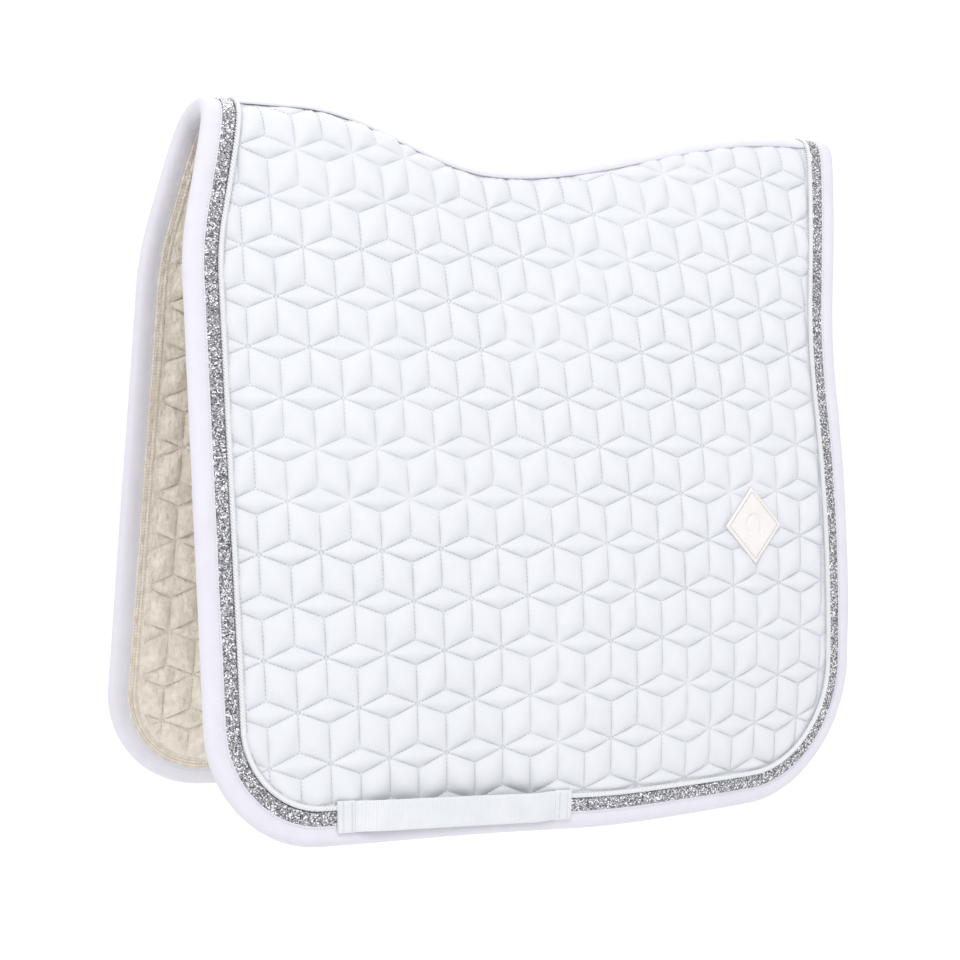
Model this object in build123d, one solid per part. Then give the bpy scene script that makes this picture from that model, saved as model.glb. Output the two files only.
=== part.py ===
"""Quilted dressage saddle pad: a spine strip over the horse's back and two flaps that lift.

Millimetres. +X runs to the rear, +Y to the horse's right, +Z up. The origin is on the underside of
the spine seam, at the lowest point of the seat dip, where the pad rests on the horse's back.
"""

from build123d import *
import math
import os

# ---- overall shape -----------------------------------------------------------------------------
RIDGE_RISE = 41.0  # height of the withers and loin ends of the spine above the seat dip
DIP_FRONT = 172.0  # from the dip forward to where the spine is level again
DIP_REAR = 275.0  # from the dip back to where the spine is level again
DROP = 556.0  # from the withers down to the corner of the lower edge

# ---- side outline: corner points, each rounded with its own radius -------------------------------
FRONT_TOP_X = -249.0
FRONT_SHOULDER = (-276.0, 112.0)  # x, and depth below the withers
FRONT_CORNER_X = -285.0
FRONT_CORNER_LIFT = 16.0  # the front corner sits this much above the lowest point
BELLY_X = 40.0
REAR_CORNER_X = 294.0
REAR_CORNER_LIFT = 4.0
REAR_WAIST = (286.0, 182.0)
REAR_TOP_X = 325.0
SHOULDER_RADIUS = 250.0
FRONT_CORNER_RADIUS = 85.0
BELLY_RADIUS = 900.0
REAR_CORNER_RADIUS = 110.0
WAIST_RADIUS = 400.0

# ---- cross-section: half width = (ridge + slope * depth + bow * depth^2), rounded at the ridge ----
WITHERS_RIDGE, WITHERS_SLOPE, WITHERS_BOW, WITHERS_ROUND = 36.0, 0.20, 0.0, 11.0
SEAT_RIDGE, SEAT_SLOPE, SEAT_BOW, SEAT_ROUND = 18.0, 0.46, -0.0005, 6.0
WITHERS_X, SEAT_X = -277.0, 28.0  # the section changes from one to the other between these
LOIN_TAPER = 0.9e-6  # behind the seat the slope falls by this much times the distance squared

# ---- layers --------------------------------------------------------------------------------------
SHELL = 1.6
PADDING = 7.0
LINING = 1.4
TAPE = 1.2  # edge and spine binding

# ---- trims ---------------------------------------------------------------------------------------
BINDING_WIDTH = 14.5
TRIM_GAP = 0.3  # between the binding, the braid and the rope
BRAID_WIDTH, BRAID_THICK = 9.7, 1.2
ROPE_WIDTH, ROPE_PROUD = 4.2, 2.8
SPINE_TAPE_HALF = 18.0
SEAM_TAPE_HALF, SEAM_TAPE_THICK = 12.0, 1.0

# ---- girth keeper --------------------------------------------------------------------------------
KEEPER_LENGTH, KEEPER_WIDTH, WEBBING = 195.0, 22.0, 1.6
KEEPER_END = 13.0
KEEPER_GAP = 6.4  # room for the girth between the trims and the webbing
KEEPER_FRONT_X = -189.6
KEEPER_ABOVE_EDGE = 20.5

# ---- emblem patch --------------------------------------------------------------------------------
PATCH_WIDTH, PATCH_HEIGHT, PATCH_THICK = 56.0, 62.0, 1.3
PATCH_X = 185.5
PATCH_ABOVE_EDGE = 229.0

# ---- fold line of the flaps ----------------------------------------------------------------------
FOLD_DEPTH = 85.0  # below the withers
FOLD_Y = 57.0  # just outside the shell, binding and rope at that depth
FOLD_SLIT = 0.6
FOLD_IN_ROOM = 10.5  # degrees of wedge on the inner side, so that the flaps can close

# ---- worked out from the above -------------------------------------------------------------------
BODY = SHELL + PADDING + LINING
WITHERS_Z = BODY + SEAM_TAPE_THICK + RIDGE_RISE
LOW_Z = WITHERS_Z - DROP
FOLD_Z = WITHERS_Z - FOLD_DEPTH
BRAID_IN = BINDING_WIDTH + TRIM_GAP
ROPE_IN = BRAID_IN + BRAID_WIDTH + TRIM_GAP
TRIM_IN = ROPE_IN + ROPE_WIDTH
FRONT_CORNER = (FRONT_CORNER_X, LOW_Z + FRONT_CORNER_LIFT)
OVERHEAD = 60.0  # how far the outline and the cuts run past the pad
SURFACE_X = (FRONT_CORNER_X - 15.0, REAR_TOP_X + 25.0)
SURFACE_ROWS, SURFACE_COLS = 25, 47  # points that each surface is drawn through
FAR = 400.0


def smooth_step(t):
    t = min(1.0, max(0.0, t))
    return t * t * (3.0 - 2.0 * t)


def ridge_height(x):
    """Height of the outer surface along the spine."""
    reach = DIP_FRONT if x < 0 else DIP_REAR
    t = min(1.0, abs(x) / reach)
    return WITHERS_Z - RIDGE_RISE * math.cos(t * math.pi / 2) ** 2


def half_width(x, depth):
    """Distance of the outer surface from the middle plane, at a depth below the spine."""
    t = smooth_step((x - WITHERS_X) / (SEAT_X - WITHERS_X))
    ridge = WITHERS_RIDGE + (SEAT_RIDGE - WITHERS_RIDGE) * t
    slope = WITHERS_SLOPE + (SEAT_SLOPE - WITHERS_SLOPE) * t - LOIN_TAPER * max(0.0, x) ** 2
    bow = WITHERS_BOW + (SEAT_BOW - WITHERS_BOW) * t
    rounding = WITHERS_ROUND + (SEAT_ROUND - WITHERS_ROUND) * t
    flank = ridge + slope * depth + bow * depth * depth
    return flank * math.sqrt(1.0 - math.exp(-depth / rounding))


def outer_point(x, q):
    """Point of the outer surface: q runs from -1 at the left lower edge to 1 at the right one."""
    depth = (ridge_height(x) - LOW_Z + 20.0) * q * q
    return Vector(x, math.copysign(half_width(x, depth), q), ridge_height(x) - depth)


def surface_point(x, q, inward):
    """Point at a distance inside the outer surface, or outside it where the distance is negative."""
    step_x, step_q = 0.5, 0.002
    along_x = outer_point(x + step_x, q) - outer_point(x - step_x, q)
    along_q = outer_point(x, q + step_q) - outer_point(x, q - step_q)
    normal = along_x.cross(along_q).normalized()
    return outer_point(x, q) - normal * inward


def surface(inward):
    """Smooth face at one depth of the pad, from lower edge to lower edge."""
    x0, x1 = SURFACE_X
    rows = []
    for i in range(SURFACE_ROWS):
        x = x0 + (x1 - x0) * i / (SURFACE_ROWS - 1)
        qs = [-1.0 + 2.0 * j / (SURFACE_COLS - 1) for j in range(SURFACE_COLS)]
        rows.append([surface_point(x, q, inward) for q in qs])
    return Face.make_surface_from_array_of_points(rows, tol=0.02, min_deg=3)


def layer(outer, inner):
    """Solid between two depths of the pad, over the whole surface."""
    faces = [surface(outer), surface(inner)]
    rims = [sorted(face.edges(), key=lambda e: (round(e.center().X), e.center().Y)) for face in faces]
    sides = [Face.make_surface_from_curves(a, b) for a, b in zip(*rims)]
    solid = Solid(Shell(faces + sides))
    return solid if solid.volume > 0 else Solid(solid.wrapped.Reversed())


def outline_face():
    """Side view of the pad, with both ends carried straight up past the spine."""
    points = [
        (FRONT_TOP_X, WITHERS_Z),
        (FRONT_SHOULDER[0], WITHERS_Z - FRONT_SHOULDER[1]),
        FRONT_CORNER,
        (BELLY_X, LOW_Z),
        (REAR_CORNER_X, LOW_Z + REAR_CORNER_LIFT),
        (REAR_WAIST[0], WITHERS_Z - REAR_WAIST[1]),
        (REAR_TOP_X, WITHERS_Z),
    ]
    points[0] = carried_up(points[1], points[0])
    points[-1] = carried_up(points[-2], points[-1])
    radii = [
        SHOULDER_RADIUS,
        FRONT_CORNER_RADIUS,
        BELLY_RADIUS,
        REAR_CORNER_RADIUS,
        WAIST_RADIUS,
    ]
    edge = FilletPolyline(*points, radius=radii)
    closing = Line(points[-1], points[0])
    return Face(Wire(edge.edges() + closing.edges()))


def carried_up(below, above):
    """Point on the line from below through above, OVERHEAD past the height of the withers."""
    grow = OVERHEAD / (above[1] - below[1])
    return (above[0] + (above[0] - below[0]) * grow, above[1] + OVERHEAD)


def through(flat):
    """A face drawn in x and z, pushed right through the pad along Y."""
    return extrude(Plane.XZ * flat, amount=FAR, both=True)


def inside(inset):
    """Everything that lies at least an inset within the side outline."""
    flat = outline_face()
    if inset:
        flat = Face(flat.outer_wire().offset_2d(-inset))
    return through(flat)


def band(near, far):
    """The strip of the side view between two distances from the edge."""
    return inside(near) - inside(far)


def middle(half):
    """The slab within a half width of the middle plane."""
    return Box(2 * FAR * 2, 2 * half, 2 * FAR * 2)


def strip_space():
    """Room of the spine strip: all that lies above the fold line."""
    height = 2 * FAR
    centre = Location((0, 0, FOLD_Z + FOLD_SLIT / 2 + height / 2))
    return centre * Box(2 * FAR * 2, 2 * FAR, height)


def left_flap_space():
    """Room of the left flap: below the fold line, and below the wedge that lets it close."""
    top = FOLD_Z - FOLD_SLIT / 2
    drop = FOLD_Y * math.tan(math.radians(FOLD_IN_ROOM))
    profile = Polyline((-FAR, top), (-FOLD_Y, top), (0, top - drop), (0, -2 * FAR), (-FAR, -2 * FAR), close=True)
    flat = Face(Wire(profile.edges()))
    return extrude(Plane.YZ * flat, amount=2 * FAR, both=True)


def binding():
    """Tape folded round the edge: an outer leg, the edge itself and an inner leg."""
    tape = layer(-TAPE, BODY + TAPE) & band(0, BINDING_WIDTH)
    return tape - (layer(0, BODY) & inside(TAPE))


def keeper_frame():
    """Middle of the keeper, lying parallel to the lower edge."""
    run = BELLY_X - FRONT_CORNER[0]
    slope = (LOW_Z - FRONT_CORNER[1]) / run
    x = KEEPER_FRONT_X + KEEPER_LENGTH / 2
    z = LOW_Z + slope * (x - BELLY_X) + KEEPER_ABOVE_EDGE
    return Location((x, z), math.degrees(math.atan(slope)))


def keeper_webbing():
    """The straight run of webbing that the girth passes behind."""
    low = ROPE_PROUD + KEEPER_GAP
    return layer(-low - WEBBING, -low) & through(keeper_frame() * Rectangle(KEEPER_LENGTH, KEEPER_WIDTH).face())


def keeper_ends():
    """Folded webbing at both ends, sewn down on the binding and the braid, clear of the rope."""
    block = layer(-ROPE_PROUD - KEEPER_GAP, -TAPE)
    offset = (KEEPER_LENGTH - KEEPER_END) / 2
    rope_room = layer(-ROPE_PROUD - TRIM_GAP, 0) & band(ROPE_IN - TRIM_GAP, TRIM_IN + TRIM_GAP)
    ends = []
    for side in (-1, 1):
        place = keeper_frame() * Location((side * offset, 0))
        end = block & through(place * Rectangle(KEEPER_END, KEEPER_WIDTH).face())
        ends.append(end - rope_room)
    return ends


def patch():
    """Diamond leather patch lying on the shell."""
    place = Location((PATCH_X, LOW_Z + PATCH_ABOVE_EDGE))
    w, h = PATCH_WIDTH / 2, PATCH_HEIGHT / 2
    diamond = Polyline((w, 0), (0, h), (-w, 0), (0, -h), close=True)
    return layer(-PATCH_THICK, 0) & through(place * Face(Wire(diamond.edges())))


def solids_of(*shapes):
    return [solid for shape in shapes for solid in shape.solids()]


def write(name, shapes):
    solids = solids_of(*shapes)
    for solid in solids:
        solid.label = name
    part = solids[0] if len(solids) == 1 else Compound(children=solids)
    part.label = name
    export_step(part, f"parts/{name}.step")


def write_both_flaps(name, shapes):
    """Write the left flap's piece and its mirror image on the right flap."""
    left = [shape & LEFT for shape in shapes]
    write("left_" + name, left)
    write("right_" + name, [mirror(solid, about=Plane.XZ) for solid in solids_of(*left)])


STRIP = strip_space()
LEFT = left_flap_space()


def main():
    os.makedirs("parts", exist_ok=True)

    sewn = inside(TAPE)
    depths = {
        "outer_shell": (0, SHELL),
        "padding": (SHELL, SHELL + PADDING),
        "lining": (SHELL + PADDING, BODY),
    }
    for name, (outer, inner) in depths.items():
        sheet = layer(outer, inner) & sewn
        write("spine_" + name, [sheet & STRIP])
        write_both_flaps(name, [sheet])

    edge_pieces = {
        "binding": binding(),
        "braid": layer(-BRAID_THICK, 0) & band(BRAID_IN, BRAID_IN + BRAID_WIDTH),
        "rope": layer(-ROPE_PROUD, 0) & band(ROPE_IN, TRIM_IN),
    }
    for name, piece in edge_pieces.items():
        over_spine = solids_of(piece & STRIP)
        write("withers_" + name, [s for s in over_spine if s.center().X < 0])
        write("rear_" + name, [s for s in over_spine if s.center().X > 0])
        write_both_flaps("edge_" + name, [piece])

    tape = layer(-TAPE, 0) & inside(TRIM_IN + TRIM_GAP) & middle(SPINE_TAPE_HALF)
    write("spine_binding", [tape])
    seam = layer(BODY, BODY + SEAM_TAPE_THICK) & inside(BINDING_WIDTH + TRIM_GAP)
    write("spine_seam_tape", [seam & middle(SEAM_TAPE_HALF)])

    write_both_flaps("girth_keeper", [keeper_webbing()])
    write_both_flaps("keeper_ends", keeper_ends())
    write_both_flaps("emblem_patch", [patch()])


main()
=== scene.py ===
"""Looks of the quilted saddle pad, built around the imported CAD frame. Metres, +X rear, +Z up."""

import math

import bpy
import numpy as np
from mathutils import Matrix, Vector


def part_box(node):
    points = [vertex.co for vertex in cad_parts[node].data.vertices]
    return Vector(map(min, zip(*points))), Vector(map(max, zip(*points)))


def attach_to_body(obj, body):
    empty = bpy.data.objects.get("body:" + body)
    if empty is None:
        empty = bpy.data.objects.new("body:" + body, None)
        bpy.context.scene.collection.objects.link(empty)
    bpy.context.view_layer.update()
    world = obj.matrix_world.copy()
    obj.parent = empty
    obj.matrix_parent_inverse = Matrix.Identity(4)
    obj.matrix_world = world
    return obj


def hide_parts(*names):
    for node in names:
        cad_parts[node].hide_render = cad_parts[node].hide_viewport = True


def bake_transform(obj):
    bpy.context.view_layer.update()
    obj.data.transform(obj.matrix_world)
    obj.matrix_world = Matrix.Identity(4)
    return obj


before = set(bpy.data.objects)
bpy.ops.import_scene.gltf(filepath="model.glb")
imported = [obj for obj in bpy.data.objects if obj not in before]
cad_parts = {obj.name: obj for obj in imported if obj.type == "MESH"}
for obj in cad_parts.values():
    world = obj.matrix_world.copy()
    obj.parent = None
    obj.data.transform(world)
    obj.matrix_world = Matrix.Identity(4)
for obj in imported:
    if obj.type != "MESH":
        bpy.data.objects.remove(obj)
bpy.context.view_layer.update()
MM = 0.001
SIDES = {"left": -1, "right": 1}

# ---- shape of the pad, the same values as the CAD model ------------------------------------------
WITHERS_Z = 52 * MM
LOW_Z = WITHERS_Z - 556 * MM
RIDGE_RISE = 41 * MM
DIP_FRONT, DIP_REAR = 172 * MM, 275 * MM
WITHERS_SECTION = (36 * MM, 0.20, 0.0, 11 * MM)  # ridge, slope, bow per metre, rounding
SEAT_SECTION = (18 * MM, 0.46, -0.5, 6 * MM)
WITHERS_X, SEAT_X = -277 * MM, 28 * MM
LOIN_TAPER = 0.9
BODY = 10 * MM
OUTLINE_TOP = 112 * MM  # above the spine, so that the outline runs past the pad

OUTLINE = [  # corner points of the side view (x, z) and the radius that rounds each
    ((-234.5 * MM, OUTLINE_TOP), 0),
    ((-276 * MM, WITHERS_Z - 112 * MM), 250 * MM),
    ((-285 * MM, LOW_Z + 16 * MM), 85 * MM),
    ((40 * MM, LOW_Z), 900 * MM),
    ((294 * MM, LOW_Z + 4 * MM), 110 * MM),
    ((286 * MM, WITHERS_Z - 182 * MM), 400 * MM),
    ((337.9 * MM, OUTLINE_TOP), 0),
]

# ---- quilting lattice: stars in level rows, each row shifted by half a pitch ----------------------
STAR_PITCH, ROW_PITCH = 47.1 * MM, 37.4 * MM
STAR_X, STAR_Z, ROW_LEAN = -206.2 * MM, -23.1 * MM, -0.75 * MM  # the first star, and each row's drift
DIAMOND_HALF = 0.247  # half height of a diamond, in rows
PUFF, VALLEY = 4.4 * MM, 1.8 * MM
DOME = 0.72  # 1 is a round dome, less is flatter on top
SAG = 0.3  # how much fuller the lower half of each cell is

# ---- fold lines, trims, keeper and patch ----------------------------------------------------------
ROPE_INSET = 26.9 * MM
SPINE_TAPE_HALF, INNER_TAPE_HALF = 18 * MM, 22 * MM
KEEPER_LENGTH, KEEPER_WIDTH = 195 * MM, 22 * MM
KEEPER_SLOPE = -16 / 325  # that of the lower edge in front of its lowest point
KEEPER_X = (-189.6 + 97.5) * MM
KEEPER_Z = LOW_Z + KEEPER_SLOPE * (KEEPER_X - 40 * MM) + 20.5 * MM
RIB_PITCH, RIB_DEPTH = 1.8 * MM, 0.5 * MM
PATCH_X, PATCH_Z, PATCH_HALF = 185.5 * MM, LOW_Z + 229 * MM, (28 * MM, 31 * MM)
PATCH_SEAM = 0.86  # the seam's place between the patch's middle and its rim
SHOE_RADIUS, SHOE_BAR = 7.0 * MM, 1.3 * MM


# ================================ surface of the pad ===============================================
def smooth(t):
    t = np.clip(t, 0, 1)
    return t * t * (3 - 2 * t)


def unit(vectors):
    return vectors / np.linalg.norm(vectors, axis=-1, keepdims=True)


def ridge_height(x):
    reach = np.where(x < 0, DIP_FRONT, DIP_REAR)
    t = np.minimum(1, np.abs(x) / reach)
    return WITHERS_Z - RIDGE_RISE * np.cos(t * math.pi / 2) ** 2


def half_width(x, depth):
    t = smooth((x - WITHERS_X) / (SEAT_X - WITHERS_X))
    ridge, slope, bow, rounding = (a + (b - a) * t for a, b in zip(WITHERS_SECTION, SEAT_SECTION))
    slope = slope - LOIN_TAPER * np.maximum(0, x) ** 2
    flank = ridge + slope * depth + bow * depth * depth
    return flank * np.sqrt(1 - np.exp(-depth / rounding))


def on_skin(x, root):
    """Points of the outer surface. root is the signed square root of the depth below the spine."""
    depth = root * root
    return np.stack([x, np.sign(root) * half_width(x, depth), ridge_height(x) - depth], -1)


def skin_normal(x, root):
    dx, dr = 0.5 * MM, 0.002
    along_x = on_skin(x + dx, root) - on_skin(x - dx, root)
    along_r = on_skin(x, root + dr) - on_skin(x, root - dr)
    return unit(np.cross(along_x, along_r))


def place(x, z, lift, side):
    """Points at side-view position (x, z) on one side of the pad, lifted off the outer surface."""
    root = side * np.sqrt(np.maximum(ridge_height(x) - z, 1e-9))
    return on_skin(x, root) + skin_normal(x, root) * np.asarray(lift)[..., None]


# ================================ outline ==========================================================
def rounded_outline(step=1.0 * MM):
    """Side-view outline as points, from above the withers round the lower edge to above the loin."""
    corners = [np.array(p) for p, _ in OUTLINE]
    pieces = [corners[0][None]]
    for i in range(1, len(corners) - 1):
        before, at, after = corners[i - 1], corners[i], corners[i + 1]
        a = (before - at) / np.linalg.norm(before - at)
        b = (after - at) / np.linalg.norm(after - at)
        half = math.acos(float(a @ b)) / 2
        reach = OUTLINE[i][1] / math.tan(half)
        centre = at + (a + b) / np.linalg.norm(a + b) * OUTLINE[i][1] / math.sin(half)
        start, end = at + a * reach - centre, at + b * reach - centre
        turn = math.pi - 2 * half
        sign = np.sign(start[0] * end[1] - start[1] * end[0])
        angles = np.linspace(0, turn, max(3, int(turn * OUTLINE[i][1] / step))) * sign
        cos, sin = np.cos(angles), np.sin(angles)
        arc = np.stack([start[0] * cos - start[1] * sin, start[0] * sin + start[1] * cos], -1)
        pieces.append(centre + arc)
    pieces.append(corners[-1][None])
    points = np.concatenate(pieces)
    length = np.concatenate([[0], np.cumsum(np.linalg.norm(np.diff(points, axis=0), axis=1))])
    even = np.arange(0, length[-1], step)
    return np.stack([np.interp(even, length, points[:, k]) for k in (0, 1)], -1)


EDGE = rounded_outline()


def signed_inset(p):
    """Distance inside the side outline for a list of points, negative outside it."""
    a, b = EDGE, np.roll(EDGE, -1, axis=0)
    rise = np.where(np.abs(b[:, 1] - a[:, 1]) < 1e-12, 1e-12, b[:, 1] - a[:, 1])
    lean = (b[:, 0] - a[:, 0]) / rise
    signed = np.empty(len(p))
    for chunk in range(0, len(p), 4000):
        q = p[chunk : chunk + 4000]
        gap = np.linalg.norm(q[:, None] - EDGE[None], axis=2).min(1)
        spans = (a[None, :, 1] > q[:, None, 1]) != (b[None, :, 1] > q[:, None, 1])
        cut = a[:, 0] + (q[:, None, 1] - a[None, :, 1]) * lean
        inside = (spans & (q[:, None, 0] < cut)).sum(1) % 2 == 1
        signed[chunk : chunk + 4000] = np.where(inside, gap, -gap)
    return signed


INSET_STEP = 3 * MM
INSET_X = np.arange(-0.31, 0.36, INSET_STEP)
INSET_Z = np.arange(LOW_Z - 0.02, WITHERS_Z + 0.03, INSET_STEP)
INSET_TABLE = signed_inset(
    np.stack(np.meshgrid(INSET_X, INSET_Z, indexing="ij"), -1).reshape(-1, 2)
).reshape(len(INSET_X), len(INSET_Z))


def edge_inset(x, z):
    """Distance inside the side outline, read from a table made once."""
    u = np.clip((x - INSET_X[0]) / INSET_STEP, 0, len(INSET_X) - 1.001)
    w = np.clip((z - INSET_Z[0]) / INSET_STEP, 0, len(INSET_Z) - 1.001)
    i, j = u.astype(int), w.astype(int)
    f, g = u - i, w - j
    left = INSET_TABLE[i, j] * (1 - g) + INSET_TABLE[i, j + 1] * g
    right = INSET_TABLE[i + 1, j] * (1 - g) + INSET_TABLE[i + 1, j + 1] * g
    return left * (1 - f) + right * f


class EdgePath:
    """The edge from the spine at the withers, down and round, up to the spine at the loin."""

    def __init__(self, spacing, side):
        self.side = side
        points = rounded_outline(0.25 * MM)
        below = ridge_height(points[:, 0]) - points[:, 1]
        first, last = np.argmax(below > 0), len(points) - np.argmax(below[::-1] > 0)
        points = points[first:last]
        tangent = unit(np.gradient(points, axis=0))
        inward = np.stack([-tangent[:, 1], tangent[:, 0]], -1)
        depth = np.maximum(ridge_height(points[:, 0]) - points[:, 1], 0)
        depth[0] = depth[-1] = 0
        near_ridge = 1 - smooth((depth - 30 * MM) / (60 * MM))
        level = -inward[:, 1] / np.where(np.abs(tangent[:, 1]) < 0.2, 1, tangent[:, 1])
        shear = inward + (near_ridge * level)[:, None] * tangent
        root = np.sqrt(depth)
        xyz = on_skin(points[:, 0], side * np.maximum(root, 1e-5))
        length = np.concatenate([[0], np.cumsum(np.linalg.norm(np.diff(xyz, axis=0), axis=1))])
        count = int(round(length[-1] / spacing)) + 1
        even = np.linspace(0, length[-1], count)
        self.length, self.at = length[-1], even
        self.root = np.interp(even, length, root)
        self.x = np.interp(even, length, points[:, 0])
        self.z = ridge_height(self.x) - self.root**2
        self.shear = np.stack([np.interp(even, length, shear[:, k]) for k in (0, 1)], -1)

    def points(self, inset, lift):
        """Points beside the edge; inset and lift are numbers or one value per path point."""
        x = self.x + self.shear[:, 0] * inset
        z = self.z + self.shear[:, 1] * inset
        return place(x, z, np.broadcast_to(lift, x.shape), self.side)


# ================================ mesh helpers =====================================================
def make_object(name, points, faces, material):
    mesh = bpy.data.meshes.new(name)
    points = np.asarray(points, float).reshape(-1, 3)
    faces = np.asarray(faces, int)
    mesh.vertices.add(len(points))
    mesh.vertices.foreach_set("co", points.ravel())
    sides = faces.shape[1]
    mesh.loops.add(faces.size)
    mesh.loops.foreach_set("vertex_index", faces.ravel())
    mesh.polygons.add(len(faces))
    mesh.polygons.foreach_set("loop_start", np.arange(0, faces.size, sides))
    mesh.polygons.foreach_set("loop_total", np.full(len(faces), sides))
    mesh.polygons.foreach_set("use_smooth", np.full(len(faces), True))
    mesh.update()
    mesh.validate()
    obj = bpy.data.objects.new(name, mesh)
    bpy.context.scene.collection.objects.link(obj)
    mesh.materials.append(material)
    return obj


def grid_faces(rows, cols, wrap=False, flip=False):
    """Quads of a grid of rows by cols points; wrap closes it along the columns."""
    i, j = np.meshgrid(np.arange(rows - 1), np.arange(cols if wrap else cols - 1), indexing="ij")
    k = (j + 1) % cols
    quads = np.stack([i * cols + j, i * cols + k, (i + 1) * cols + k, (i + 1) * cols + j], -1)
    quads = quads.reshape(-1, 4)
    return quads[:, ::-1] if flip else quads


def weld(points, faces, gap=0.02 * MM):
    """Merge points that lie together, so that neighbouring cells share their seams."""
    keys = np.round(np.asarray(points) / gap).astype(np.int64)
    _, first, inverse = np.unique(keys, axis=0, return_index=True, return_inverse=True)
    return np.asarray(points)[first], inverse.ravel()[faces]


def attach(obj, side, slot, *nodes):
    """Bakes the piece's placement into its mesh and hides the CAD nodes it stands in for."""
    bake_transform(obj)
    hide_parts(*nodes)
    return obj


def value_noise(points, scale, seed):
    """Smooth noise in -1..1 at 3-D points, from a seeded lattice of random numbers."""
    rng = np.random.default_rng(seed)
    table = rng.uniform(-1, 1, (32, 32, 32))
    p = np.asarray(points) / scale + 1000.0
    base = np.floor(p).astype(int)
    f = p - base
    f = f * f * (3 - 2 * f)
    total = 0
    for corner in range(8):
        o = [(corner >> k) & 1 for k in range(3)]
        weight = 1
        for k in range(3):
            weight = weight * (f[..., k] if o[k] else 1 - f[..., k])
        index = [(base[..., k] + o[k]) % 32 for k in range(3)]
        total = total + weight * table[index[0], index[1], index[2]]
    return total


# ================================ materials ========================================================
def new_material(name, colour, roughness, sheen=0.0):
    material = bpy.data.materials.new(name)
    material.use_nodes = True
    shader = material.node_tree.nodes["Principled BSDF"]
    shader.inputs["Base Color"].default_value = (*colour, 1)
    shader.inputs["Roughness"].default_value = roughness
    shader.inputs["Sheen Weight"].default_value = sheen
    shader.inputs["Sheen Roughness"].default_value = 0.5
    shader.inputs["Specular IOR Level"].default_value = 0.3
    return material, material.node_tree, shader


def add(tree, kind, **values):
    node = tree.nodes.new(kind)
    for key, value in values.items():
        if key in node.inputs:
            node.inputs[key].default_value = value
        else:
            setattr(node, key, value)
    return node


def place_coords(tree, scale=(1, 1, 1), rotation=(0, 0, 0)):
    coords = add(tree, "ShaderNodeTexCoord")
    mapping = add(tree, "ShaderNodeMapping")
    mapping.inputs["Scale"].default_value = scale
    mapping.inputs["Rotation"].default_value = rotation
    tree.links.new(coords.outputs["Object"], mapping.inputs["Vector"])
    return mapping.outputs["Vector"]


def ramp(tree, source, stops):
    node = add(tree, "ShaderNodeValToRGB")
    while len(node.color_ramp.elements) < len(stops):
        node.color_ramp.elements.new(0.5)
    for element, (position, colour) in zip(node.color_ramp.elements, stops):
        element.position = position
        element.color = (*colour, 1)
    tree.links.new(source, node.inputs["Fac"])
    return node.outputs["Color"]


def bump(tree, shader, heights, distance):
    """Chain of bumps: each height is (socket, strength)."""
    previous = None
    for socket, strength in heights:
        node = add(tree, "ShaderNodeBump", Strength=strength, Distance=distance)
        tree.links.new(socket, node.inputs["Height"])
        if previous:
            tree.links.new(previous, node.inputs["Normal"])
        previous = node.outputs["Normal"]
    tree.links.new(previous, shader.inputs["Normal"])


def weave(tree, thread):
    """Height of a fine twill: two crossed waves one thread apart."""
    total = None
    for turn in (0.78, -0.78):
        vector = place_coords(tree, rotation=(0, turn, 0))
        wave = add(tree, "ShaderNodeTexWave", Scale=1 / thread / 6.283, Distortion=0.6)
        wave.inputs["Detail Scale"].default_value = 3
        tree.links.new(vector, wave.inputs["Vector"])
        if total is None:
            total = wave.outputs["Fac"]
        else:
            mix = add(tree, "ShaderNodeMath", operation="MAXIMUM")
            tree.links.new(total, mix.inputs[0])
            tree.links.new(wave.outputs["Fac"], mix.inputs[1])
            total = mix.outputs[0]
    return total


def fabric(name, light, dark, thread, pucker, roughness=0.8, sheen=0.03, patches=60, depth=0.4 * MM):
    """Woven cloth: tone drifts between two colours, over a weave and small puckers."""
    material, tree, shader = new_material(name, light, roughness, sheen)
    drift = add(tree, "ShaderNodeTexNoise", Scale=patches, Detail=3)
    tree.links.new(place_coords(tree), drift.inputs["Vector"])
    tree.links.new(ramp(tree, drift.outputs["Fac"], [(0.3, dark), (0.7, light)]), shader.inputs["Base Color"])
    crease = add(tree, "ShaderNodeTexNoise", Scale=260, Detail=4)
    tree.links.new(place_coords(tree, scale=(1, 1, 0.6)), crease.inputs["Vector"])
    bump(tree, shader, [(crease.outputs["Fac"], pucker), (weave(tree, thread), 0.12)], depth)
    return material


def glitter():
    """Silver glitter: each flake has its own tone, tilt and shine."""
    material, tree, shader = new_material("silver_glitter", (0.5, 0.5, 0.52), 0.35)
    flakes = add(tree, "ShaderNodeTexVoronoi", Scale=1100)
    tree.links.new(place_coords(tree), flakes.inputs["Vector"])
    split = add(tree, "ShaderNodeSeparateColor")
    tree.links.new(flakes.outputs["Color"], split.inputs["Color"])
    tones = [
        (0.0, (0.05, 0.05, 0.055)),
        (0.35, (0.21, 0.21, 0.23)),
        (0.72, (0.41, 0.41, 0.44)),
        (0.93, (0.95, 0.95, 0.97)),
    ]
    tree.links.new(ramp(tree, split.outputs["Red"], tones), shader.inputs["Base Color"])
    metal = ramp(tree, split.outputs["Green"], [(0.4, (0, 0, 0)), (0.5, (0.9, 0.9, 0.9))])
    tree.links.new(metal, shader.inputs["Metallic"])
    rough = ramp(tree, split.outputs["Blue"], [(0.0, (0.2, 0.2, 0.2)), (1.0, (0.6, 0.6, 0.6))])
    tree.links.new(rough, shader.inputs["Roughness"])
    bump(tree, shader, [(split.outputs["Green"], 0.9), (flakes.outputs["Distance"], 0.5)], 0.5 * MM)
    return material


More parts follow.
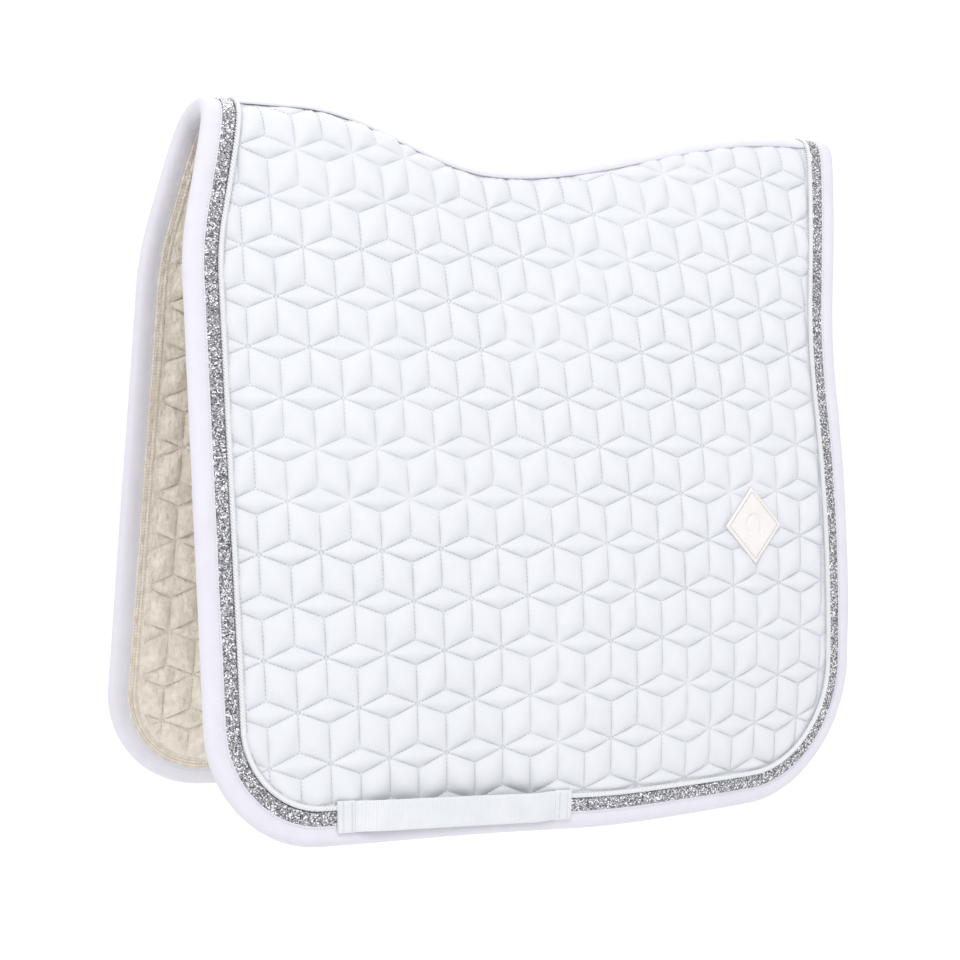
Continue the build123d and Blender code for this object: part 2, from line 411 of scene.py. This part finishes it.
def satin(name, colour, roughness, fine):
    material, tree, shader = new_material(name, colour, roughness, 0.05)
    grain = add(tree, "ShaderNodeTexNoise", Scale=fine, Detail=2)
    tree.links.new(place_coords(tree), grain.inputs["Vector"])
    shades = [(0.35, tuple(c * 0.93 for c in colour)), (0.65, colour)]
    tree.links.new(ramp(tree, grain.outputs["Fac"], shades), shader.inputs["Base Color"])
    bump(tree, shader, [(grain.outputs["Fac"], 0.35)], 0.2 * MM)
    return material


def pearl_leather():
    material, tree, shader = new_material("pearl_leather", (0.70, 0.675, 0.675), 0.38)
    shader.inputs["Coat Weight"].default_value = 0.25
    shader.inputs["Coat Roughness"].default_value = 0.3
    grain = add(tree, "ShaderNodeTexVoronoi", Scale=900)
    tree.links.new(place_coords(tree), grain.inputs["Vector"])
    soft = add(tree, "ShaderNodeTexNoise", Scale=90, Detail=3)
    tree.links.new(place_coords(tree), soft.inputs["Vector"])
    shades = [(0.3, (0.675, 0.65, 0.65)), (0.7, (0.71, 0.685, 0.685))]
    tree.links.new(ramp(tree, soft.outputs["Fac"], shades), shader.inputs["Base Color"])
    bump(tree, shader, [(grain.outputs["Distance"], 0.12)], 0.15 * MM)
    return material


SHELL = fabric("cool_white_twill", (0.635, 0.65, 0.685), (0.615, 0.63, 0.67), 0.45 * MM, 0.35)
LINING = fabric(
    "cream_cotton",
    (0.74, 0.69, 0.625),
    (0.60, 0.55, 0.48),
    0.6 * MM,
    1.0,
    roughness=0.9,
    sheen=0.0,
    patches=160,
    depth=2.4 * MM,
)
BINDING = fabric("lavender_tape", (0.63, 0.622, 0.68), (0.605, 0.595, 0.66), 0.35 * MM, 0.12)
WEBBING = fabric("ribbed_webbing", (0.66, 0.675, 0.71), (0.62, 0.64, 0.68), 0.5 * MM, 0.15)
GLITTER = glitter()
# dark grey tube inside the cord: painted shade for the grooves between the white strands
CORD_GROOVE_SHADE = satin("cord_groove_shade", (0.34, 0.35, 0.38), 0.6, 1500)
CORD = satin("white_cord", (0.69, 0.70, 0.72), 0.45, 1500)
THREAD = satin("white_thread", (0.60, 0.63, 0.69), 0.5, 3000)
# grey-lavender thread, darker than the shell: partly the thread's own colour, partly painted shade of the
# needle holes and seam valleys; also used on the rope seam and keeper ends
QUILT_THREAD_AND_SHADE = satin("quilting_thread_and_shade", (0.52, 0.54, 0.61), 0.5, 3000)
SEAM_THREAD = satin("lavender_thread", (0.55, 0.52, 0.60), 0.6, 3000)
CREAM_THREAD = satin("cream_thread", (0.48, 0.41, 0.32), 0.6, 3000)
LEATHER = pearl_leather()


# ================================ quilting =========================================================
def star(u, v):
    """Side-view position of a lattice point."""
    u, v = np.asarray(u, float), np.asarray(v, float)
    return STAR_X + STAR_PITCH * u + ROW_LEAN * v, STAR_Z - ROW_PITCH * v


def lattice():
    """Lattice numbers of the stars, a little past the pad on every side."""
    return [(k + (0.5 if v % 2 else 0), v) for v in range(-3, 14) for k in range(-5, 16)]


def quilt_cells():
    """The three rhombi that belong to each star: a diamond and two leaning cells below it."""
    d = DIAMOND_HALF
    cells = []
    for u, v in lattice():
        cells.append(("diamond", [(u, v), (u + 0.5, v + d), (u + 1, v), (u + 0.5, v - d)]))
        cells.append(("lean", [(u, v), (u, v + 1 - d), (u + 0.5, v + 1), (u + 0.5, v + d)]))
        cells.append(("lean", [(u, v), (u - 0.5, v + d), (u - 0.5, v + 1), (u, v + 1 - d)]))
    return cells


def patch_distance(x, z):
    """Distance outside the emblem patch's diamond, in the side view."""
    return np.abs(x - PATCH_X) / PATCH_HALF[0] + np.abs(z - PATCH_Z) / PATCH_HALF[1] - 1


def quilted(side, divisions, lift, outward, puff, crinkle, trim, seed):
    """Points and faces of one quilted sheet. outward is 1 on the shell and -1 on the lining.

    Each cell of the lattice is a dome on its own grid. Its height fades out, as free goes from 1 to 0,
    towards the trims, the spine tape and the patch, where the layers are sewn flat.
    """
    t = 0.5 - 0.5 * np.cos(math.pi * np.arange(divisions + 1) / divisions)
    s, r = np.meshgrid(t, t, indexing="ij")
    rise = ((1 - (2 * s - 1) ** 2) * (1 - (2 * r - 1) ** 2)) ** DOME
    rng = np.random.default_rng(seed)
    all_x, all_z, all_h, faces = [], [], [], []
    n = divisions + 1
    quad = grid_faces(n, n)
    count = 0
    for kind, corners in quilt_cells():
        amount = puff * (0.82 if kind == "diamond" else 1.0) * rng.uniform(0.85, 1.12)
        tilt = rng.uniform(-0.18, 0.18, 2)
        cx, cz = star(*np.array(corners).T)
        weights = np.stack([(1 - s) * (1 - r), s * (1 - r), s * r, (1 - s) * r])
        x, z = np.tensordot(cx, weights, 1), np.tensordot(cz, weights, 1)
        below = ridge_height(x) - z
        if below.max() < 0 or x.min() < -0.3 or x.max() > 0.35 or z.max() < LOW_Z:
            continue
        all_x.append(x.ravel())
        all_z.append(z.ravel())
        sag = 1 + SAG * (z.mean() - z) / (z.max() - z.mean())
        all_h.append((rise * amount * sag * (1 + tilt[0] * (s - 0.5) + tilt[1] * (r - 0.5))).ravel())
        faces.append(quad + count)
        count += n * n
    x, z, h = (np.concatenate(a) for a in (all_x, all_z, all_h))
    faces = np.concatenate(faces)
    top = ridge_height(x) - 0.02 * MM
    faces = faces[(edge_inset(x, z) > trim)[faces].all(1) & (z < top)[faces].any(1)]
    z = np.minimum(z, top)
    inset = edge_inset(x, z)
    below = ridge_height(x) - z
    from_spine = half_width(x, np.maximum(below, 0)) - SPINE_TAPE_HALF
    free = smooth((inset - 25 * MM) / (9 * MM)) * smooth((from_spine + 4 * MM) / (9 * MM))
    if outward > 0:
        free = free * smooth((patch_distance(x, z) + 0.12) * 3.2)
    spot = np.stack([x, np.zeros_like(x), z], -1)
    wave = value_noise(spot, 5.5 * MM, seed + 1) + 0.6 * value_noise(spot, 2.8 * MM, seed + 2)
    shoulder = np.clip(h / puff, 0, 1)
    height = (h + crinkle * wave * (shoulder * (1.15 - shoulder) * 2)) * free - VALLEY * smooth(free * 2)
    height = height + 0.6 * MM * value_noise(spot, 60 * MM, seed + 3)
    points = place(x, z, lift + outward * height, side)
    points, faces = weld(points, faces)
    used, faces = np.unique(faces, return_inverse=True)
    points, faces = points[used], faces.reshape(-1, 4)
    clockwise = side * outward > 0
    return points, faces[:, ::-1] if clockwise else faces


def quilt_seams():
    """Seam segments of the quilting as pairs of side-view points."""
    d = DIAMOND_HALF
    found = []
    for u, v in lattice():
        ends = [(u, v + 1 - d), (u + 0.5, v + d), (u + 0.5, v - d), (u - 0.5, v + d), (u - 0.5, v - d)]
        ends.append((u, v - 1 + d))
        found += [((u, v), end) for end in ends]
    segments = np.array(found)
    a = np.stack(star(segments[:, 0, 0], segments[:, 0, 1]), -1)
    b = np.stack(star(segments[:, 1, 0], segments[:, 1, 1]), -1)
    return a, b


def stitch_mesh(name, centres, directions, normals, length, radius, material):
    """A row of stitches: each is a small spindle lying on the cloth."""
    directions = unit(directions)
    across = unit(np.cross(normals, directions))
    corners = [
        -directions * length / 2,
        across * radius,
        normals * radius,
        -across * radius,
        -normals * radius,
        directions * length / 2,
    ]
    points = np.stack([centres + c for c in corners], 1).reshape(-1, 3)
    near = [[0, 2, 1], [0, 3, 2], [0, 4, 3], [0, 1, 4]]
    far = [[5, 1, 2], [5, 2, 3], [5, 3, 4], [5, 4, 1]]
    faces = (np.array(near + far)[None] + 6 * np.arange(len(centres))[:, None, None]).reshape(-1, 3)
    return make_object(name, points, faces, material)


def seam_stitches(name, side, lift, outward, material, trim):
    """Stitches along every quilting seam inside the trims."""
    a, b = quilt_seams()
    pitch, length = 3.1 * MM, 1.7 * MM
    centres, heads = [], []
    for p, q in zip(a, b):
        run = np.linalg.norm(q - p)
        count = max(1, int(run / pitch))
        t = (np.arange(count) + 0.5) / count
        centres.append(p + (q - p) * t[:, None])
        heads.append(np.repeat(((q - p) / run)[None], count, 0))
    c, h = np.concatenate(centres), np.concatenate(heads)
    below = ridge_height(c[:, 0]) - c[:, 1]
    clear_of_tape = half_width(c[:, 0], np.maximum(below, 0)) > SPINE_TAPE_HALF + 2 * MM
    keep = (edge_inset(c[:, 0], c[:, 1]) > trim) & clear_of_tape & (c[:, 1] > LOW_Z)
    if outward > 0:
        keep &= patch_distance(c[:, 0], c[:, 1]) > 0.05
    c, h = c[keep], h[keep]
    level = lift + outward * (-VALLEY + 0.35 * MM)
    here = place(c[:, 0], c[:, 1], np.full(len(c), level), side)
    ahead = place(c[:, 0] + h[:, 0] * MM, c[:, 1] + h[:, 1] * MM, np.full(len(c), level), side)
    normals = unit(place(c[:, 0], c[:, 1], np.full(len(c), level + outward * MM), side) - here)
    return stitch_mesh(name, here, ahead - here, normals, length, 0.3 * MM, material)


# ================================ edge trims =======================================================
def sweep_profile(name, path, profile, material, wobble=None):
    """Carry a closed profile of (inset, lift) pairs along the edge."""
    rings = []
    for inset, lift in profile:
        shift = 0 if wobble is None else wobble(path, inset, lift)
        rings.append(path.points(inset, lift + shift))
    points = np.stack(rings, 1)
    faces = grid_faces(points.shape[0], points.shape[1], wrap=True, flip=path.side < 0)
    return make_object(name, points.reshape(-1, 3), faces, material)


def smooth_profile(corners, per_span=4):
    """Closed Catmull-Rom curve through the corners of a profile."""
    p = np.array(corners) * MM
    out = []
    for i in range(len(p)):
        a, b, c, d = p[i - 1], p[i], p[(i + 1) % len(p)], p[(i + 2) % len(p)]
        for k in range(per_span):
            t = k / per_span
            square, cube = 2 * a - 5 * b + 4 * c - d, 3 * b - a - 3 * c + d
            out.append(0.5 * (2 * b + (c - a) * t + square * t**2 + cube * t**3))
    return out


def binding_pucker(path, inset, lift):
    """Small gathers beside the stitch line of the binding, and slow waves along it."""
    spot = np.stack([path.at, np.full_like(path.at, inset * 0.6), np.full_like(path.at, lift)], -1)
    near_seam = smooth((inset - 7 * MM) / (6 * MM))
    fine = value_noise(spot, 6 * MM, 51) * 0.28 * MM * near_seam
    slow = value_noise(spot, 28 * MM, 52) * 0.35 * MM * (1 - near_seam)
    return (fine + slow) * (1 if lift > -5 * MM else -1)


# Profiles as (inset, lift) corners in millimetres, from the edge inwards and from the outer surface.
BINDING_PROFILE = [
    (14.7, -0.4),
    (14.3, 0.7),
    (12.5, 0.9),
    (9.5, 1.6),
    (6.0, 1.7),
    (2.8, 0.6),
    (0.6, -2.0),
    (0.0, -5.0),
    (0.6, -8.0),
    (2.8, -10.6),
    (6.0, -11.7),
    (9.5, -11.6),
    (12.5, -10.9),
    (14.3, -10.7),
    (14.7, -9.6),
]
BRAID_PROFILE = [
    (14.9, -0.3),
    (14.9, 0.9),
    (15.8, 1.35),
    (17.6, 1.3),
    (19.6, 1.45),
    (21.6, 1.3),
    (23.4, 1.35),
    (24.3, 0.9),
    (24.3, -0.3),
]
LINING_TAPE_PROFILE = [
    (14.9, -9.6),
    (14.9, -10.6),
    (15.8, -11.0),
    (17.2, -11.0),
    (18.6, -10.7),
    (20.0, -11.0),
    (21.4, -11.0),
    (22.3, -10.6),
    (22.3, -9.6),
]


BINDING_STITCH = {"pitch": 3 * MM, "length": 2.3 * MM, "radius": 0.22 * MM, "material": THREAD}
LINING_STITCH = {"pitch": 2.6 * MM, "length": 1.7 * MM, "radius": 0.42 * MM, "material": CREAM_THREAD}
ROPE_STITCH = {"pitch": 2.8 * MM, "length": 1.7 * MM, "radius": 0.3 * MM, "material": QUILT_THREAD_AND_SHADE}


def edge_row(name, path, inset, lift, pitch, length, radius, material, outward=1):
    """A line of stitches beside the edge."""
    count = int(path.length / pitch)
    at = np.linspace(0, path.length, count)
    line = path.points(inset, lift)
    above = path.points(inset, lift + outward * MM)
    centres = np.stack([np.interp(at, path.at, line[:, k]) for k in range(3)], -1)
    tops = np.stack([np.interp(at, path.at, above[:, k]) for k in range(3)], -1)
    heads = np.gradient(centres, axis=0)
    return stitch_mesh(name, centres, heads, unit(tops - centres), length, radius, material)


def rope_groove_shade(name, path, material):
    """A dark tube inside the cord: painted shade that shows as a dark line in the grooves between the
    strands.
    """
    middle, radius = ROPE_INSET / MM, 1.3
    turns = np.arange(8) * math.pi / 4
    ring = [(middle + radius * math.cos(a), radius + radius * math.sin(a)) for a in turns]
    return sweep_profile(name, path, [(x * MM, z * MM) for x, z in ring[::-1]], material)


def rope_mesh(name, path, material):
    """Three satin strands twisted into a cord, lying beside the braid."""
    strand, reach, pitch, around = 0.95 * MM, 1.18 * MM, 7.6 * MM, 7
    centre = path.points(ROPE_INSET, 1.3 * MM)
    up = unit(path.points(ROPE_INSET, 2.3 * MM) - centre)
    across = np.cross(unit(np.gradient(centre, axis=0)), up)
    points, faces, start = [], [], 0
    ring = np.arange(around) * 2 * math.pi / around
    for k in range(3):
        phase = path.side * 2 * math.pi * (path.at / pitch + k / 3)
        axis = centre + reach * (np.cos(phase)[:, None] * up + np.sin(phase)[:, None] * across)
        out = unit(axis - centre)
        side = np.cross(unit(np.gradient(axis, axis=0)), out)
        tube = axis[:, None] + strand * (
            np.cos(ring)[None, :, None] * out[:, None] + np.sin(ring)[None, :, None] * side[:, None]
        )
        points.append(tube.reshape(-1, 3))
        faces.append(grid_faces(len(axis), around, wrap=True) + start)
        start += len(axis) * around
    return make_object(name, np.concatenate(points), np.concatenate(faces), material)


# ================================ spine ============================================================
def ridge_strip(name, half, lift, thickness, x_range, material, crown=0.0):
    """Tape along the spine, from one side over the ridge to the other."""
    xs = np.arange(x_range[0], x_range[1], 2 * MM)
    cols = 29
    roots = np.linspace(-1, 1, cols)
    limit = np.array([root_at(x, half) for x in xs])
    rows_top, rows_low = [], []
    for x, reach in zip(xs, limit):
        root = roots * reach
        root = np.where(np.abs(root) < 1e-5, 1e-5, root)
        xx = np.full(cols, x)
        bulge = crown * (1 - roots**2) ** 0.5
        edge = 0.5 * thickness * smooth((np.abs(roots) - 0.9) * 10)
        wave = 0.15 * MM * value_noise(np.stack([xx, root * 0.05, root * 0], -1), 7 * MM, 61)
        normal = skin_normal(xx, root)
        rows_top.append(on_skin(xx, root) + normal * (lift + thickness - edge + bulge + wave)[:, None])
        rows_low.append(on_skin(xx, root) + normal * lift)
    top, low = np.stack(rows_top), np.stack(rows_low)
    ring = np.concatenate([top, low[:, ::-1]], 1)
    faces = grid_faces(ring.shape[0], ring.shape[1], wrap=True)
    return make_object(name, ring.reshape(-1, 3), faces, material)


def root_at(x, y):
    """Signed root of the depth at which the outer surface is y away from the middle plane."""
    lo, hi = 0.0, 0.3
    for _ in range(40):
        mid = (lo + hi) / 2
        if float(half_width(np.array(x), np.array(mid * mid))) < y:
            lo = mid
        else:
            hi = mid
    return lo


# ================================ keeper and patch =================================================
def keeper_place(along, across, lift, side):
    c, s = math.cos(math.atan(KEEPER_SLOPE)), math.sin(math.atan(KEEPER_SLOPE))
    x = KEEPER_X + along * c - across * s
    z = KEEPER_Z + along * s + across * c
    return place(x, z, lift, side)


def slab_mesh(name, along, across, low, high, side, material):
    """A strap drawn as a grid of points on its outer and inner faces, closed all round."""
    a, b = np.meshgrid(along, across, indexing="ij")
    top = keeper_place(a, b, high(a, b), side)
    bottom = keeper_place(a, b, low(a, b), side)
    rows, cols = a.shape
    ring = np.concatenate([top, bottom[:, ::-1]], 1)
    faces = grid_faces(rows, 2 * cols, wrap=True, flip=side < 0)
    caps = []
    for row in (0, rows - 1):
        for j in range(cols - 1):
            q = [row * 2 * cols + k for k in (j, j + 1, 2 * cols - 2 - j, 2 * cols - 1 - j)]
            caps.append(q if (row == 0) == (side < 0) else q[::-1])
    return make_object(name, ring.reshape(-1, 3), np.concatenate([faces, np.array(caps)]), material)


def ribs(along):
    """Dents of the webbing's cross ribs."""
    return -RIB_DEPTH * (0.5 + 0.5 * np.cos(2 * math.pi * along / RIB_PITCH)) ** 2


def girth_keeper(name, side):
    """The webbing strap, lying down at both ends and standing clear of the rope in the middle."""
    half, width = KEEPER_LENGTH / 2, KEEPER_WIDTH / 2
    along = np.arange(-half, half + 0.15 * MM, 0.3 * MM)
    across = width * np.sin(np.linspace(-1, 1, 13) * math.pi / 2)

    def middle(a):
        return smooth((half - 9 * MM - np.abs(a)) / (26 * MM))

    def low(a, b):
        return 2.2 * MM + 7.0 * MM * middle(a)

    def high(a, b):
        edge = 0.45 * MM * smooth((np.abs(b) / width - 0.86) * 7)
        return low(a, b) + 1.7 * MM + ribs(a) - edge

    return slab_mesh(name, along, across, low, high, side, WEBBING)


def keeper_end(name, side, end):
    """Folded end of the webbing, sewn down over the strap."""
    half, width = KEEPER_LENGTH / 2, KEEPER_WIDTH / 2 + 0.3 * MM
    first, last = end * (half + 0.6 * MM), end * (half - 13 * MM)
    along = np.linspace(min(first, last), max(first, last), 30)
    across = width * np.sin(np.linspace(-1, 1, 13) * math.pi / 2)

    def low(a, b):
        return np.full_like(a, 1.0 * MM)

    def high(a, b):
        crown = 0.5 * MM * np.sin(math.pi * (a - along[0]) / (along[-1] - along[0])) ** 0.5
        edge = 0.7 * MM * smooth((np.abs(b) / width - 0.84) * 6)
        return 4.6 * MM + crown + ribs(a) - edge

    return slab_mesh(name, along, across, low, high, side, WEBBING)


def keeper_stitches(name, side):
    """Two rows of stitches across each folded end."""
    centres, normals, heads = [], [], []
    for end in (-1, 1):
        for inset in (3 * MM, 10 * MM):
            b = np.arange(-9.5, 9.6, 1.9) * MM
            a = np.full_like(b, end * (KEEPER_LENGTH / 2 - inset))
            lift = np.full_like(b, 5.15 * MM)
            here = keeper_place(a, b, lift, side)
            centres.append(here)
            normals.append(keeper_place(a, b, lift + MM, side) - here)
            heads.append(keeper_place(a, b + MM, lift, side) - here)
    centres, heads, normals = (np.concatenate(rows) for rows in (centres, heads, normals))
    return stitch_mesh(name, centres, heads, unit(normals), 1.4 * MM, 0.35 * MM, QUILT_THREAD_AND_SHADE)


def horseshoe(x, z):
    """Depth of a small embossed horseshoe, 0 to 1, in patch coordinates (metres)."""
    angle = np.arctan2(x, z)
    radius = np.hypot(x, z * 0.88)
    bar = smooth(1.6 - np.abs(radius - SHOE_RADIUS) / SHOE_BAR)
    open_end = smooth((2.55 - np.abs(angle)) * 6)
    return bar * open_end


def emblem_patch(name, side):
    """A leather diamond with a rounded rim, a pressed seam groove and the embossed horseshoe."""
    n = 121
    t = np.linspace(-1, 1, n)
    s, r = np.meshgrid(t, t, indexing="ij")
    dx, dz = (s + r) / 2 * PATCH_HALF[0], (s - r) / 2 * PATCH_HALF[1]
    rim = np.maximum(np.abs(s), np.abs(r))
    groove = np.exp(-(((rim - PATCH_SEAM) / 0.03) ** 2))
    lift = 2.1 * MM - 1.0 * MM * smooth((rim - 0.93) * 14) - 0.55 * MM * groove
    lift = lift - 0.9 * MM * horseshoe(dx, dz) + 0.3 * MM * (1 - rim**2)
    top = place(PATCH_X + dx, PATCH_Z + dz, lift, side)
    low = place(PATCH_X + dx, PATCH_Z + dz, np.full_like(lift, -0.6 * MM), side)
    points = np.concatenate([top.reshape(-1, 3), low.reshape(-1, 3)])
    up, down = grid_faces(n, n), grid_faces(n, n, flip=True) + n * n
    border = [i * n for i in range(n)] + [(n - 1) * n + j for j in range(1, n)]
    border += [i * n + n - 1 for i in range(n - 2, -1, -1)] + [j for j in range(n - 2, 0, -1)]
    wall = [[border[i], border[i - 1], border[i - 1] + n * n, border[i] + n * n] for i in range(len(border))]
    faces = np.concatenate([up, down, np.array(wall)])
    if side > 0:
        faces = faces[:, ::-1]
    return make_object(name, points, faces, LEATHER)


def patch_stitches(name, side):
    """Stitches in the patch's groove."""
    corners = [(1, 0), (0, 1), (-1, 0), (0, -1), (1, 0)]
    centres = []
    for (ax, az), (bx, bz) in zip(corners, corners[1:]):
        t = (np.arange(14) + 0.5)[:, None] / 14
        a = np.array([ax * PATCH_HALF[0], az * PATCH_HALF[1]]) * PATCH_SEAM
        b = np.array([bx * PATCH_HALF[0], bz * PATCH_HALF[1]]) * PATCH_SEAM
        centres.append(a + (b - a) * t)
    c = np.concatenate(centres)
    x, z = PATCH_X + c[:, 0], PATCH_Z + c[:, 1]
    here = place(x, z, np.full(len(c), 1.75 * MM), side)
    heads = np.gradient(here, axis=0)
    normals = unit(place(x, z, np.full(len(c), 2.75 * MM), side) - here)
    return stitch_mesh(name, here, heads, normals, 1.9 * MM, 0.35 * MM, CREAM_THREAD)


# ================================ the whole pad ====================================================
def ride_on_flap(obj, side, slot, *nodes):
    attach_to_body(obj, "left_flap" if side < 0 else "right_flap")
    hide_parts(*nodes)
    return obj


def build_side(word, side):
    """Everything on one half of the pad; word starts the names of its pieces and CAD nodes."""
    shell_points, shell_faces = quilted(
        side, 12, lift=0.0, outward=1, puff=PUFF, crinkle=0.3 * MM, trim=15.5 * MM, seed=11 + side
    )
    shell = make_object(f"{word}_quilted_shell", shell_points, shell_faces, SHELL)
    attach(shell, side, "shell_fabric", f"{word}_outer_shell", f"{word}_padding", "spine_outer_shell")
    lining_points, lining_faces = quilted(
        side, 12, lift=-BODY, outward=-1, puff=5.0 * MM, crinkle=1.9 * MM, trim=6 * MM, seed=21 + side
    )
    lining = make_object(f"{word}_quilted_lining", lining_points, lining_faces, LINING)
    attach(lining, side, "lining_cotton", f"{word}_lining", "spine_lining", "spine_padding")
    stitches = seam_stitches(f"{word}_quilting_thread_and_shade", side, 0.0, 1, QUILT_THREAD_AND_SHADE, 30 * MM)
    attach(stitches, side, "shell_fabric")
    inner = seam_stitches(f"{word}_lining_thread", side, -BODY, -1, CREAM_THREAD, 23 * MM)
    attach(inner, side, "lining_cotton")

    path = EdgePath(1.6 * MM, side)
    profile = smooth_profile(BINDING_PROFILE)
    binding = sweep_profile(f"{word}_binding", path, profile, BINDING, binding_pucker)
    attach(binding, side, "binding", f"{word}_edge_binding", "withers_binding", "rear_binding")
    for label, lift, outward in (("outer", 1.15, 1), ("inner", -11.15, -1)):
        name = f"{word}_binding_seam_{label}"
        row = edge_row(name, path, 13.0 * MM, lift * MM, outward=outward, **BINDING_STITCH)
        attach(row, side, "binding")
    tape = sweep_profile(f"{word}_lining_tape", path, smooth_profile(LINING_TAPE_PROFILE, 3), LINING)
    attach(tape, side, "lining_cotton")
    for k, inset in enumerate((16.2, 18.6, 21.0)):
        name = f"{word}_lining_row_{k + 1}"
        row = edge_row(name, path, inset * MM, -11.1 * MM, outward=-1, **LINING_STITCH)
        attach(row, side, "lining_cotton")
    fine = EdgePath(0.9 * MM, side)
    braid = sweep_profile(f"{word}_glitter_braid", fine, smooth_profile(BRAID_PROFILE, 3), GLITTER)
    attach(braid, side, "glitter_braid", f"{word}_edge_braid", "withers_braid", "rear_braid")
    rope = rope_mesh(f"{word}_twisted_rope", fine, CORD)
    attach(rope, side, "cord", f"{word}_edge_rope", "withers_rope", "rear_rope")
    # dark tube inside the cord: painted shade between the strands
    attach(rope_groove_shade(f"{word}_rope_groove_shade", path, CORD_GROOVE_SHADE), side, "cord")
    row = edge_row(f"{word}_rope_seam", path, 30.2 * MM, 0.3 * MM, **ROPE_STITCH)
    attach(row, side, "cord")

    strap = girth_keeper(f"{word}_keeper_webbing", side)
    ride_on_flap(strap, side, "webbing", f"{word}_girth_keeper")
    for label, end in (("front", -1), ("rear", 1)):
        fold = keeper_end(f"{word}_keeper_fold_{label}", side, end)
        ride_on_flap(fold, side, "webbing", f"{word}_keeper_ends")
    ride_on_flap(keeper_stitches(f"{word}_keeper_thread", side), side, "webbing")
    ride_on_flap(emblem_patch(f"{word}_patch", side), side, "patch_leather", f"{word}_emblem_patch")
    ride_on_flap(patch_stitches(f"{word}_patch_thread", side), side, "patch_leather")


def build_spine():
    """The tapes over and under the spine, and the two rows of stitches in the outer one."""
    low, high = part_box("spine_binding")
    tape = ridge_strip("spine_tape", SPINE_TAPE_HALF, -0.3 * MM, 1.5 * MM, (low.x, high.x), BINDING, 0.4 * MM)
    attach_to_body(tape, "spine")
    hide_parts("spine_binding")
    low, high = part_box("spine_seam_tape")
    lift = -BODY - 1.3 * MM
    seam = ridge_strip("spine_inner_tape", INNER_TAPE_HALF, lift, 1.0 * MM, (low.x, high.x), BINDING)
    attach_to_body(seam, "spine")
    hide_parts("spine_seam_tape")
    low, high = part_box("spine_binding")
    xs = np.arange(low.x + 1 * MM, high.x, 2.6 * MM)
    for word, side in SIDES.items():
        root = side * np.array([root_at(x, SPINE_TAPE_HALF - 1.0 * MM) for x in xs])
        normals = skin_normal(xs, root)
        here = on_skin(xs, root) + normals * 1.0 * MM
        heads = np.gradient(here, axis=0)
        thread = stitch_mesh(
            f"{word}_spine_seam", here, heads, normals, 2.2 * MM, 0.25 * MM, SEAM_THREAD
        )
        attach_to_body(thread, "spine")


for word, side in SIDES.items():
    build_side(word, side)
build_spine()


# ================================ camera, light and floor ==========================================
CAMERA_AT = (-0.719, -1.456, -0.182)
CAMERA_TURN, CAMERA_DOWN = math.radians(26), math.radians(2)
LAMP_AIM, LAMP_SIZE, LAMP_COLOUR = (0, 0, -0.2), 1.2, (1.0, 0.99, 0.98)


def add_camera():
    data = bpy.data.cameras.new("camera")
    data.lens, data.sensor_width = 75, 36
    camera = bpy.data.objects.new("camera", data)
    camera.location = CAMERA_AT
    level = math.cos(CAMERA_DOWN)
    look = Vector((math.sin(CAMERA_TURN) * level, math.cos(CAMERA_TURN) * level, -math.sin(CAMERA_DOWN)))
    camera.rotation_euler = look.to_track_quat("-Z", "Y").to_euler()
    bpy.context.scene.collection.objects.link(camera)
    bpy.context.scene.camera = camera


def add_area(name, position, power):
    data = bpy.data.lights.new(name, "AREA")
    data.shape, data.size, data.energy, data.color = "DISK", LAMP_SIZE, power, LAMP_COLOUR
    lamp = bpy.data.objects.new(name, data)
    lamp.location = position
    lamp.rotation_euler = (Vector(LAMP_AIM) - Vector(position)).to_track_quat("-Z", "Y").to_euler()
    bpy.context.scene.collection.objects.link(lamp)


def add_floor():
    material = new_material("pale_floor", (0.97, 0.97, 0.97), 0.9)[0]
    reach, level = 30.0, LOW_Z - 0.35
    corners = [(-reach, -reach, level), (reach, -reach, level), (reach, reach, level), (-reach, reach, level)]
    floor = make_object("floor", corners, [[0, 1, 2, 3]], material)


def add_world():
    world = bpy.data.worlds.new("studio")
    world.use_nodes = True
    background = world.node_tree.nodes["Background"]
    background.inputs["Color"].default_value = (1.0, 1.0, 1.0, 1)
    background.inputs["Strength"].default_value = 1.04
    bpy.context.scene.world = world


add_camera()
add_world()
add_floor()
add_area("key", (-1.2, -2.0, 2.6), 56)
add_area("far_key", (1.2, 2.0, 2.6), 40)
bpy.context.scene.view_settings.view_transform = "Standard"
bpy.context.scene.view_settings.look = "None"
